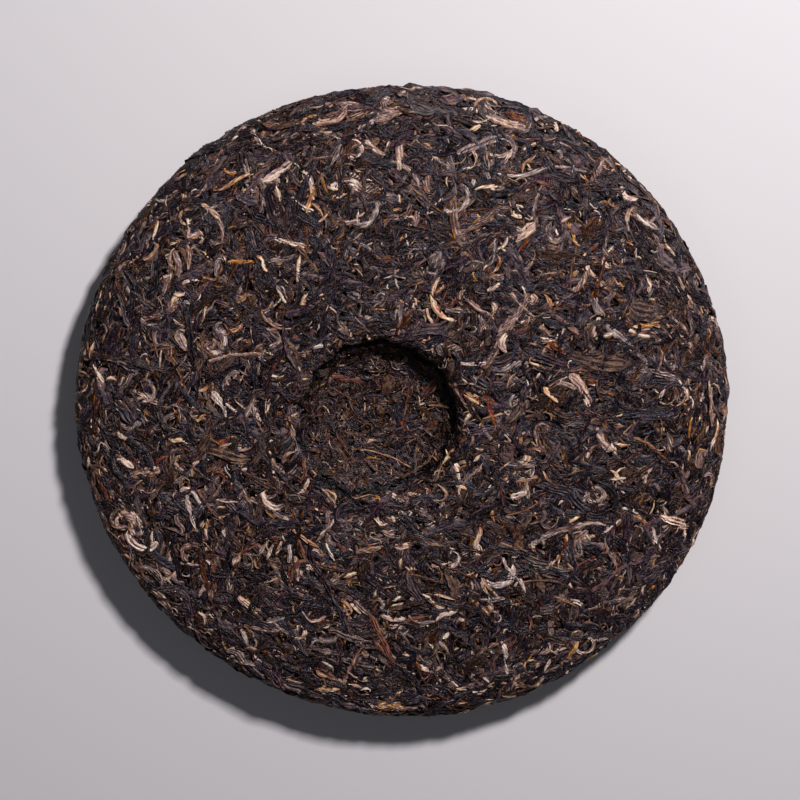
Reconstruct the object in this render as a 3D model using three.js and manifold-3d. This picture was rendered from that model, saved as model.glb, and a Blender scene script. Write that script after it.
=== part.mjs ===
// A round pressed cake of twisted tea leaves, lying with its hollowed back face up.
// Millimetres, +Z up. The origin is the middle of the cake's outline, on the surface that it lies on.
import * as THREE from "three";
import { mergeVertices } from "three/addons/utils/BufferGeometryUtils.js";
import Module from "manifold-3d";

// Pressed body
const BODY_RADIUS = 99.3;
const SHOULDER_RADIUS = 87;
const RIM_MIDDLE_HEIGHT = 11.6;
const RIM_SQUARENESS = 2.3;
const BACK_CREST_HEIGHT = 21.8;
const BACK_SHOULDER_HEIGHT = 17.6;
const BACK_ROUNDNESS = 1.8;
const FRONT_SHOULDER_HEIGHT = 5.4;
const FRONT_FLAT_RADIUS = 42;
const FRONT_ROUNDNESS = 2;
const FRONT_LEAF_GAP = 0.7;
const RESTING_PATCH_RADIUS = 11;
const RESTING_PATCH_EDGE = 2;

// Hollow that the knot of the pressing cloth leaves in the back face
const HOLLOW_FLOOR_RADIUS = 17.5;
const HOLLOW_LIP_RADIUS = 27;
const HOLLOW_DEPTH = 8.4;
const HOLLOW_DISH = 1.2;
const KNOT_RADIUS = 3.4;
const KNOT_HEIGHT = 1.1;
const HOLLOW_OFFSET = new THREE.Vector2(-6.6, -1.2);
const OFFSET_FADE_START = 30;
const OFFSET_FADE_END = 86;

// Unevenness of a cake pressed by hand: [waves round the outline, height of the wave, angle of its crest],
// in millimetres for the outline and as a share of the height for the thickness
const OUTLINE_WAVES = [
  [2, 0.55, -12],
  [3, 0.3, 52],
  [5, 0.2, -14],
  [7, 0.16, 70],
];
const THICKNESS_WAVES = [
  [1, 0.022, 200],
  [2, 0.016, 40],
  [3, 0.012, 285],
];

// Rings of facets: the radii on each face, the steps over the rim, and the turns round the axis
const BACK_RINGS = [0, KNOT_RADIUS, 11, HOLLOW_FLOOR_RADIUS, 20.6, 24, HOLLOW_LIP_RADIUS, 34, 52, 70];
const FRONT_RINGS = [66, FRONT_FLAT_RADIUS, RESTING_PATCH_RADIUS + RESTING_PATCH_EDGE, RESTING_PATCH_RADIUS, 0];
const RIM_STEPS = 6;
const TURNS = 48;

// Leaf strips fused on the body. Each zone runs outwards from the middle of the back face, over the rim and
// on to the middle of the front face; spread is how far a strip's heading may turn from straight round the cake.
const LEAF_ZONES = [
  { from: "knot", to: "floor", count: 9, length: [7, 12], width: [1.5, 2.2], rise: [0.7, 0.9], spread: Math.PI },
  { from: "lip", to: "shoulder", count: 104, length: [13, 30], width: [2.1, 3.6], rise: [0.9, 1.3], spread: Math.PI },
  { from: "shoulder", to: "under", count: 44, length: [12, 24], width: [2.1, 3.2], rise: [0.9, 1.2], spread: 0.9 },
  { from: "under", to: "patch", count: 68, length: [13, 28], width: [2.1, 3.5], rise: [1.1, 1.5], spread: Math.PI },
];
const ZONE_MARGIN = { knot: 2, floor: 0, lip: -1, patch: -4 };
const LEAF_BEND = 2.6;
const LEAF_STEP = 5.6;
const LEAF_SINK = 0.12;
const LEAF_CORNERS = 4;
const WIDTH_CHANGE = 0.15;
const TIP_WIDTH = 0.3;
const TIP_HEIGHT = 0.55;
const TIP_BLUNTNESS = 0.7;
const TOP_WIDTH = 0.5;
const TOP_LEAN = 0.35;
const TWIST = 5;

// The rule that spreads the strips: golden turns over bands of equal area, sizes dealt out in a fixed stride
const GOLDEN_TURN = Math.PI * (3 - Math.sqrt(5));
const AREA_BANDS = 60;
const SIZE_STRIDE = 29;
const SEED = 357;

// Clean-up after the joins
const SMALLEST_EDGE = 0.16;
const TRIM_BLOCK = 400;

const smooth = (from, to, x) => THREE.MathUtils.smoothstep(x, from, to);

// A repeatable stream of random numbers from 0 to 1.
function randomStream(seed) {
  let state = seed;
  return () => {
    state = (state + 0x6d2b79f5) | 0;
    let t = Math.imul(state ^ (state >>> 15), 1 | state);
    t = (t + Math.imul(t ^ (t >>> 7), 61 | t)) ^ t;
    return ((t ^ (t >>> 14)) >>> 0) / 2 ** 32;
  };
}

// Height of the back face: a low crest round the hollow that falls to the shoulder, and the knot's mark in the floor.
function backHeight(r) {
  const fall = Math.max(0, (r - HOLLOW_LIP_RADIUS) / (SHOULDER_RADIUS - HOLLOW_LIP_RADIUS));
  const face = BACK_CREST_HEIGHT - (BACK_CREST_HEIGHT - BACK_SHOULDER_HEIGHT) * fall ** BACK_ROUNDNESS;
  const wall = 1 - smooth(HOLLOW_FLOOR_RADIUS, HOLLOW_LIP_RADIUS, r);
  const dish = HOLLOW_DISH * (1 - Math.min(1, r / HOLLOW_FLOOR_RADIUS) ** 2);
  const knot = KNOT_HEIGHT * (1 - smooth(0, KNOT_RADIUS, r));
  return face - HOLLOW_DEPTH * wall - dish + knot;
}

// Height of the front face, which lies down: flat in the middle, rising to the shoulder.
function frontHeight(r) {
  const rise = Math.max(0, (r - FRONT_FLAT_RADIUS) / (SHOULDER_RADIUS - FRONT_FLAT_RADIUS));
  const gap = FRONT_LEAF_GAP * smooth(RESTING_PATCH_RADIUS, RESTING_PATCH_RADIUS + RESTING_PATCH_EDGE, r);
  return gap + (FRONT_SHOULDER_HEIGHT - FRONT_LEAF_GAP) * rise ** FRONT_ROUNDNESS;
}

// One point of the rim, a squared-off half ellipse from the back shoulder (0) to the front shoulder (1).
function rimPoint(share) {
  const angle = Math.PI * (0.5 - share);
  const squared = (v) => Math.sign(v) * Math.abs(v) ** (2 / RIM_SQUARENESS);
  const half = share < 0.5 ? BACK_SHOULDER_HEIGHT - RIM_MIDDLE_HEIGHT : RIM_MIDDLE_HEIGHT - FRONT_SHOULDER_HEIGHT;
  return new THREE.Vector2(
    SHOULDER_RADIUS + (BODY_RADIUS - SHOULDER_RADIUS) * squared(Math.cos(angle)),
    RIM_MIDDLE_HEIGHT + half * squared(Math.sin(angle)),
  );
}

// The body's half section, from the middle of the back face round the rim to the middle of the front face.
function bodyProfile() {
  const points = [];
  for (const r of BACK_RINGS) points.push(new THREE.Vector2(r, backHeight(r)));
  for (let i = 0; i <= RIM_STEPS; i++) points.push(rimPoint(i / RIM_STEPS));
  for (const r of FRONT_RINGS) points.push(new THREE.Vector2(r, frontHeight(r)));
  return points;
}

const profile = bodyProfile();
const distances = [0];
for (let i = 1; i < profile.length; i++) distances.push(distances[i - 1] + profile[i].distanceTo(profile[i - 1]));

// How far along the half section a radius of the back face or of the front face lies.
const alongBack = (r) => distances[profile.findIndex((p) => p.x >= r)];
const alongFront = (r) => distances[profile.findLastIndex((p) => p.x >= r)];

const places = {
  knot: alongBack(KNOT_RADIUS) + ZONE_MARGIN.knot,
  floor: alongBack(HOLLOW_FLOOR_RADIUS) + ZONE_MARGIN.floor,
  lip: alongBack(HOLLOW_LIP_RADIUS) + ZONE_MARGIN.lip,
  shoulder: alongBack(SHOULDER_RADIUS),
  under: alongFront(SHOULDER_RADIUS),
  patch: alongFront(RESTING_PATCH_RADIUS) + ZONE_MARGIN.patch,
};

// The nearest point of the surface of revolution to a point, and the direction that faces outwards there.
function onSurface(point) {
  const r = Math.hypot(point.x, point.y);
  const turn = Math.atan2(point.y, point.x);
  const flat = new THREE.Vector2(r, point.z);
  let best = { gap: Infinity };
  for (let i = 1; i < profile.length; i++) {
    const run = profile[i].clone().sub(profile[i - 1]);
    const share = THREE.MathUtils.clamp(flat.clone().sub(profile[i - 1]).dot(run) / run.lengthSq(), 0, 1);
    const foot = profile[i - 1].clone().addScaledVector(run, share);
    const gap = foot.distanceTo(flat);
    if (gap < best.gap) best = { gap, foot, facing: new THREE.Vector2(-run.y, run.x).normalize() };
  }
  const outward = (v) => new THREE.Vector3(v.x * Math.cos(turn), v.x * Math.sin(turn), v.y);
  return { at: outward(best.foot), facing: outward(best.facing) };
}

// The radius and height at a distance along the half section.
function sectionAt(along) {
  let i = 1;
  while (i < distances.length - 1 && distances[i] < along) i++;
  const share = (along - distances[i - 1]) / (distances[i] - distances[i - 1]);
  return profile[i - 1].clone().lerp(profile[i], share);
}

// The surface point at a distance along the half section, on one meridian.
function surfaceAt(along, turn) {
  const p = sectionAt(along);
  return onSurface(new THREE.Vector3(p.x * Math.cos(turn), p.x * Math.sin(turn), p.y));
}

// Walks over the surface from a point, turning steadily, and returns the stations passed.
function walk(start, heading, bend, length, steps) {
  const stations = [];
  const direction = heading.clone();
  let here = start;
  for (let i = 0; i < steps; i++) {
    direction.applyAxisAngle(here.facing, bend / steps).projectOnPlane(here.facing).normalize();
    here = onSurface(here.at.clone().addScaledVector(direction, length / steps));
    stations.push(here);
  }
  return stations;
}

// One leaf strip: a slim four-sided prism laid along a bent line on the surface, tapered to both ends,
// its narrower top leaning from side to side as the leaf twists.
function leafGeometry({ start, heading, bend, length, width, rise, fold }) {
  const halfSteps = Math.max(1, Math.round(length / LEAF_STEP / 2));
  const steps = 2 * halfSteps;
  const back = walk(start, heading.clone().negate(), -bend / 2, length / 2, halfSteps).reverse();
  const ahead = walk(start, heading, bend / 2, length / 2, halfSteps);
  const stations = [...back, start, ...ahead];
  const reach = Math.SQRT2;
  const turned = Math.PI / LEAF_CORNERS;
  const geometry = new THREE.CylinderGeometry(reach, reach, 1, LEAF_CORNERS, steps, false, turned);
  const corner = geometry.attributes.position;
  for (let i = 0; i < corner.count; i++) {
    const share = corner.getY(i) + 0.5;
    const k = Math.round(share * steps);
    const { at, facing } = stations[k];
    const before = stations[Math.max(0, k - 1)].at;
    const after = stations[Math.min(steps, k + 1)].at;
    const side = new THREE.Vector3().crossVectors(after.clone().sub(before), facing).normalize();
    const fullness = TIP_WIDTH + (1 - TIP_WIDTH) * Math.sin(Math.PI * share) ** TIP_BLUNTNESS;
    const onTop = corner.getZ(i) > 0.5;
    const lean = onTop ? TOP_LEAN * Math.sin(fold + TWIST * share) : 0;
    const across = (width / 2) * fullness * (corner.getX(i) * (onTop ? TOP_WIDTH : 1) + lean);
    const up = rise * (TIP_HEIGHT + (1 - TIP_HEIGHT) * fullness) * corner.getZ(i) - LEAF_SINK;
    corner.setXYZ(i, ...at.clone().addScaledVector(side, across).addScaledVector(facing, up).toArray());
  }
  return geometry;
}

// Distances along the half section that part a zone into stretches of equal area, one for each strip.
function evenDistances(from, to, count) {
  const areas = [0];
  for (let i = 0; i < AREA_BANDS; i++) {
    areas.push(areas[i] + sectionAt(from + ((to - from) * (i + 0.5)) / AREA_BANDS).x);
  }
  return Array.from({ length: count }, (_, i) => {
    const wanted = ((i + 0.5) / count) * areas[AREA_BANDS];
    const band = areas.findIndex((area) => area >= wanted);
    const share = band - (areas[band] - wanted) / (areas[band] - areas[band - 1]);
    return from + ((to - from) * share) / AREA_BANDS;
  });
}

// The strips of one zone.
function leavesOf(zone, random) {
  return evenDistances(places[zone.from], places[zone.to], zone.count).map((along, i) => {
    const start = surfaceAt(along, i * GOLDEN_TURN);
    const order = ((i * SIZE_STRIDE) % zone.count) / zone.count;
    const size = ([low, high]) => high + (low - high) * order;
    const around = new THREE.Vector3(0, 0, 1).cross(start.at).normalize();
    return leafGeometry({
      start,
      heading: around.applyAxisAngle(start.facing, (random() - 0.5) * zone.spread),
      bend: (random() - 0.5) * LEAF_BEND,
      length: size(zone.length),
      width: size(zone.width) * (1 + WIDTH_CHANGE * (2 * random() - 1)),
      rise: size(zone.rise),
      fold: random() * 2 * Math.PI,
    });
  });
}

const wasm = await Module();
wasm.setup();

// A closed three.js geometry as a solid for joining and cutting.
function solidOf(source) {
  const geometry = source.clone();
  geometry.deleteAttribute("normal");
  geometry.deleteAttribute("uv");
  const merged = mergeVertices(geometry, 1e-4);
  const kept = [];
  for (let i = 0; i < merged.index.count; i += 3) {
    const [a, b, c] = [0, 1, 2].map((k) => merged.index.getX(i + k));
    if (a !== b && b !== c && c !== a) kept.push(a, b, c);
  }
  return new wasm.Manifold(
    new wasm.Mesh({
      numProp: 3,
      vertProperties: new Float32Array(merged.attributes.position.array),
      triVerts: new Uint32Array(kept),
    }),
  );
}

function geometryOf(solid) {
  const { vertProperties, triVerts, numProp, numVert } = solid.getMesh();
  const position = new Float32Array(numVert * 3);
  for (let i = 0; i < numVert; i++) position.set(vertProperties.subarray(i * numProp, i * numProp + 3), i * 3);
  return new THREE.BufferGeometry()
    .setAttribute("position", new THREE.BufferAttribute(position, 3))
    .setIndex(new THREE.BufferAttribute(new Uint32Array(triVerts), 1));
}

// The body with every leaf strip fused on, and the leaves of the front face pressed flush with the surface below.
function fusedCake() {
  const body = new THREE.LatheGeometry([...profile].reverse(), TURNS);
  body.rotateX(Math.PI / 2);
  const random = randomStream(SEED);
  const leaves = LEAF_ZONES.flatMap((zone) => leavesOf(zone, random));
  const joined = wasm.Manifold.union([body, ...leaves].map(solidOf));
  const block = new THREE.BoxGeometry(TRIM_BLOCK, TRIM_BLOCK, TRIM_BLOCK).translate(0, 0, TRIM_BLOCK / 2);
  const trimmed = joined.intersect(solidOf(block)).asOriginal().simplify(SMALLEST_EDGE);
  return trimmed.decompose().reduce((largest, piece) => (piece.volume() > largest.volume() ? piece : largest));
}

const crestOf = ([count, height, crest], turn) => height * Math.cos(count * (turn - THREE.MathUtils.degToRad(crest)));
const waveAt = (waves, turn) => waves.reduce((sum, wave) => sum + crestOf(wave, turn), 0);

// Makes the turned form uneven: the outline and the thickness waver, and the hollow sits off the middle.
function makeUneven(geometry) {
  const position = geometry.attributes.position;
  for (let i = 0; i < position.count; i++) {
    const [x, y, z] = [position.getX(i), position.getY(i), position.getZ(i)];
    const r = Math.hypot(x, y);
    const turn = Math.atan2(y, x);
    const outer = smooth(HOLLOW_LIP_RADIUS, SHOULDER_RADIUS, r);
    const outward = 1 + (waveAt(OUTLINE_WAVES, turn) / BODY_RADIUS) * outer;
    const thickness = 1 + waveAt(THICKNESS_WAVES, turn) * outer;
    const shift = 1 - smooth(OFFSET_FADE_START, OFFSET_FADE_END, r);
    position.setXYZ(
      i,
      x * outward + HOLLOW_OFFSET.x * shift,
      y * outward + HOLLOW_OFFSET.y * shift,
      z * thickness,
    );
  }
  return geometry;
}

const tea = new THREE.MeshStandardMaterial({ color: 0x372a28, roughness: 0.62, metalness: 0 });
const cake = new THREE.Mesh(makeUneven(geometryOf(fusedCake())), tea);
cake.name = "tea_cake";
cake.geometry.computeBoundingBox();
const middle = cake.geometry.boundingBox.getCenter(new THREE.Vector3());
cake.position.set(-middle.x, -middle.y, -cake.geometry.boundingBox.min.z);

const root = new THREE.Group();
root.add(cake);
export default root;
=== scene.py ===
import math
from dataclasses import dataclass

import bpy
import numpy as np
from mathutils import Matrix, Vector


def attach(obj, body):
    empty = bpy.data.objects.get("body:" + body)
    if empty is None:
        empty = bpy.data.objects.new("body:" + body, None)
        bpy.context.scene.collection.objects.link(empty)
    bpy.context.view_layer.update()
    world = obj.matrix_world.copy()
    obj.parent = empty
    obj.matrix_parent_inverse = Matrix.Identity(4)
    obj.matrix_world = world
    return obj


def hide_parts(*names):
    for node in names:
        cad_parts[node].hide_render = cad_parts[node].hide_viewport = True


# Pressed body, in millimetres
BODY_RADIUS = 99.3
SHOULDER_RADIUS = 87.0
RIM_MIDDLE_HEIGHT = 11.6
RIM_SQUARENESS = 2.3
BACK_CREST_HEIGHT = 21.8
BACK_SHOULDER_HEIGHT = 17.6
BACK_ROUNDNESS = 1.8
FRONT_SHOULDER_HEIGHT = 5.4
FRONT_FLAT_RADIUS = 42.0
FRONT_ROUNDNESS = 2.0
FRONT_LEAF_GAP = 0.7
RESTING_PATCH_RADIUS = 11.0
RESTING_PATCH_EDGE = 2.0
RIM_SAMPLES = 300
SECTION_STEP = 0.25

# Hollow that the knot of the pressing cloth leaves in the back face
HOLLOW_FLOOR_RADIUS = 17.5
HOLLOW_LIP_RADIUS = 27.0
HOLLOW_DEPTH = 8.4
HOLLOW_DISH = 1.2
KNOT_RADIUS = 3.4
KNOT_HEIGHT = 1.1
HOLLOW_OFFSET = (-6.6, -1.2)
OFFSET_FADE = (30.0, 86.0)

# Unevenness of a cake pressed by hand: waves round the outline, height of the wave, angle of its crest
OUTLINE_WAVES = ((2, 0.55, -12), (3, 0.3, 52), (5, 0.2, -14), (7, 0.16, 70))
THICKNESS_WAVES = ((1, 0.022, 200), (2, 0.016, 40), (3, 0.012, 285))

# Depth that the leaves fill over the core, and the level a little above the body at which the press stops them
CORE_SINK = 1.1
SHALLOW_CORE_SINK = 0.7
PRESS_LEVEL = 0.7
HOLLOW_PRESS_LEVEL = 0.3
RIM_PRESS_LEVEL = 0.35
LUMPS = ((21.0, 0.14), (9.0, 0.12), (4.2, 0.1))  # wavelength, height
LUMP_WAVES = 5
LUMP_SPREAD = (0.75, 1.3)
HOLLOW_SMOOTHING, RIM_SMOOTHING = 0.6, 0.5

# Groove that the edge of the cloth leaves in the hollow's wall
GROOVE_RADIUS = 21.5
GROOVE_CLIMB = 5.0
GROOVE_WIDTH = 1.2
GROOVE_DEPTH = 1.65
GROOVE_WAVES = ((1, 0.3, 50), (3, 0.4, 20), (5, 0.45, 75), (8, 0.45, 10), (13, 0.4, 140))
GROOVE_WANDER = ((2, 0.8, 35), (3, 0.7, 110), (5, 0.7, 30), (9, 0.6, 0), (14, 0.5, 65))

# Strips laid in each part of the cake, and their size there
FACE_STRIPS = 17000
HOLLOW_STRIPS = 3200
UNDERSIDE_STRIPS = 3000
HOLLOW_SCALE = 0.6
UNDERSIDE_SCALE = 1.3
PARTS_OVERLAP = 3.0

# Where strips fall: the heap's cells, places to choose from, and how the places are spread
CELL = 0.35
MAP_OVERLAP = 34.0
MOST_STRETCH = 3
CHOICES = 3
EVEN_STEPS = np.array([0.7548776662, 0.5698402910])
PLACE_STEPS = 800
PLACE_SPREAD = 3.0
LEAST_ROOM, ANY_ROOM = 0.2, -9.0
LATE = 0.3
LARGE_SOONER = 0.15
SHOWN_WEIGHT = 2.0

# How far the leaves lie one way, and how they turn round the knot's mark
RIM_ORDER, LIP_ORDER, KNOT_ORDER = 0.6, 0.25, 0.55
KNOT_SWIRL = 0.4
KNOT_REACH = 4

# Sizes: most strips are short and narrow
SHORTER, NARROWER = 1.6, 2.6
WIDTH_BY_LENGTH, WIDTH_FREE = 0.35, 0.65
LENGTH_SPREAD = (0.85, 1.15)

# Curl: the share of bows, of bows and waves, and of strips with a sharp bend; how strongly each turns
BOWS, BOWS_AND_WAVES, SHARP_BENDS = 0.4, 0.65, 0.16
WAVE_TURN, HOOK_TURN, SHAFT_TURN, SHARP_TURN = 1.6, 2.4, 0.15, 0.8
HOOK_START = (0.1, 0.6)
WRIGGLE, CURLY_WRIGGLE = 0.06, 0.05
ANY_PHASE = 6.3

# Width and thickness along a strip
TAPER, TIP_LIMITS = (0.3, 1.9), (0.08, 0.95)
WIDEST, FULLNESS = (0.55, 1.7), (0.35, 0.9)
RAGGED = 0.09
THIN_END, THICKER = 0.45, 0.55
THICKNESS_ENDS, THICKNESS_SPREAD = (0.04, 0.96), (0.75, 1.2)
LEAST_HALF_WIDTH, LEAST_HALF_HEIGHT = 0.06, 0.05

# How strips bend up and down, spring back from the press and rest on what is below
SWAY, SWAY_WAVELENGTH = 0.14, (4, 11)
TUCK, TUCKED_ENDS = 0.7, 0.6
TUCK_FROM_START, TUCK_FROM_END = 0.3, 0.7
SPRING_BACK = 0.24
HOLLOW_CALM, HOLLOW_STIFFNESS = 0.6, 0.7
BRIDGED, FOLLOWED = 0.6, 0.4
CREST_OVER_REST = 1.8

# Sections of a strip: tilt and twist, lengthwise folds, and the drop to its edges
STATIONS = 13
STEPS = STATIONS - 1
FINER = 3
FEWEST_STATIONS = 3
PLAIN_CORNERS, MOST_CORNERS = 4, 11
FOLD_PITCH = 0.7
SHARP_FOLD = 30.0
TILT, ROLL = 0.8, 1.2
TWISTED, TWIST, MORE_TWIST = 0.2, 0.16, 0.45
FOLD_BEAT, FOLD_NOISE = (0.65, 1.05), 0.3
PLEAT_SPREAD = (0.4, 1.3)
EDGE_DROP, EDGE_ROUNDNESS = (0.3, 1.5), 2.6
UNEVEN_EDGE = 0.07
END_REACH = 0.6
# Near its edges a strip's folds are set low, which paints shade there as a dark outline
AT_EDGE, EDGE_SHADE_FOLD = 0.99, 0.1

# What shows: how near the top of the heap, the margin in stations, the least share above and underneath
SHOWING = 0.1
SHOWN_MARGIN = 0.7
LEAST_SHARE, LEAST_SHARE_UNDER = 0.04, 0.14
COARSER_UNDER = 1.6
# Depth below the press in millimetres that scales the painted shade of deep parts of strips
BURIED_DEPTH = 1.1
SHADE_DRIFT = 0.3
DARK_CUT, PALE_CUT = 0.25, 0.16
MAP_SPREAD = 400

# Marked leaves
PLAIN_BEND = 10
MARKED_WAVE, MARKED_SHAFT, MARKED_HOOK_START = 2, 0.1, 0.6
MARKED_WRIGGLE, MARKED_SWAY, MARKED_SPRING = 0.03, 0.35, (0.15, 0.35)
MARKED_ORDER, MARKED_WEIGHT = 3, 20.0
MARKED_SHADES = (0.35, 0.9)
SETTLING_ROUNDS = 5

# Core
CORE_RINGS, CORE_TURNS = 165, 200
CORE_END = 1.5
CORE_CLEARANCE, CORE_GRIT = 0.1, 0.3

# View, in millimetres and degrees
VIEW_WIDTH = 246.3
VIEW_MIDDLE = (-0.6, 3.2, 12.0)
LENS = 100.0
SENSOR = 36.0
CAMERA_TILT = 12.0
FLOOR_SIZE = 6000.0
FLOOR_GAP = 0.2

BACK, FRONT = 1, -1
SEED = 357

rng = np.random.default_rng(SEED)
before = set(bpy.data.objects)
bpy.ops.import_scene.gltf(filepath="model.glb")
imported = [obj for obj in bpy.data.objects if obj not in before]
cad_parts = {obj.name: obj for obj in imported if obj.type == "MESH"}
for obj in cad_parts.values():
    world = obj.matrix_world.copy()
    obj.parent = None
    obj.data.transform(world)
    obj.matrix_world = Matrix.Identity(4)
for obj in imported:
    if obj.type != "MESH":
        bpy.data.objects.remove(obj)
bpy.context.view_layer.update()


# One kind of leaf. Lengths and widths are in millimetres, from the shortest or thinnest to the largest.
@dataclass
class Kind:
    name: str
    face_share: float
    hollow_share: float
    length: tuple
    width: tuple
    flat: float  # thickness over width
    bend: float  # curl from end to end, radians
    pitch: float  # distance between its stations
    triangles: int  # the most it may have
    tip: float = 0.3  # width of the ends over the middle
    pleat: float = 0.2  # depth of the lengthwise folds over the width
    late: float = 0.0  # how late it falls on the heap


KINDS = (
    Kind("ink_leaves", 0.2, 0.1, (4.5, 20), (1.1, 4.4), 0.32, 1.7, 1.9, 188000, 0.4),
    Kind("plum_leaves", 0.175, 0.13, (4.5, 20), (1.1, 4.4), 0.32, 1.7, 1.9, 168000, 0.4),
    Kind("umber_leaves", 0.13, 0.2, (4.5, 19), (1.1, 4.2), 0.32, 1.7, 1.9, 132000, 0.4),
    Kind("russet_leaves", 0.05, 0.06, (4, 16), (0.9, 3.0), 0.34, 1.6, 1.9, 45000, 0.4),
    Kind("tan_leaves", 0.075, 0.012, (4.5, 15), (1.0, 3.1), 0.36, 2.0, 1.5, 96000, 0.5, late=0.15),
    Kind("golden_buds", 0.045, 0.014, (2.5, 9), (0.6, 1.9), 0.45, 1.3, 1.3, 42000, late=0.3),
    Kind("stems", 0.015, 0.01, (7, 18), (0.5, 1.2), 0.8, 0.3, 2.5, 12000, 0.8, 0.08, 0.3),
    Kind("leaf_scraps", 0.02, 0.08, (4, 12), (2.4, 6.0), 0.12, 0.4, 1.4, 34000, 0.3, 0.1, 0.2),
    Kind("dark_threads", 0.09, 0.2, (2.5, 11), (0.4, 1.1), 0.7, 2.4, 1.5, 82000, late=0.35),
    Kind("pale_threads", 0.06, 0.06, (2.2, 9), (0.35, 0.85), 0.7, 3.0, 1.2, 48000, late=0.5),
    Kind("dark_crumbs", 0.07, 0.12, (0.8, 2.4), (0.5, 1.4), 0.6, 0.5, 1.0, 42000, late=0.7),
    Kind("pale_crumbs", 0.06, 0.05, (0.7, 2.0), (0.4, 1.0), 0.6, 0.5, 1.0, 34000, late=0.75),
)

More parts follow.
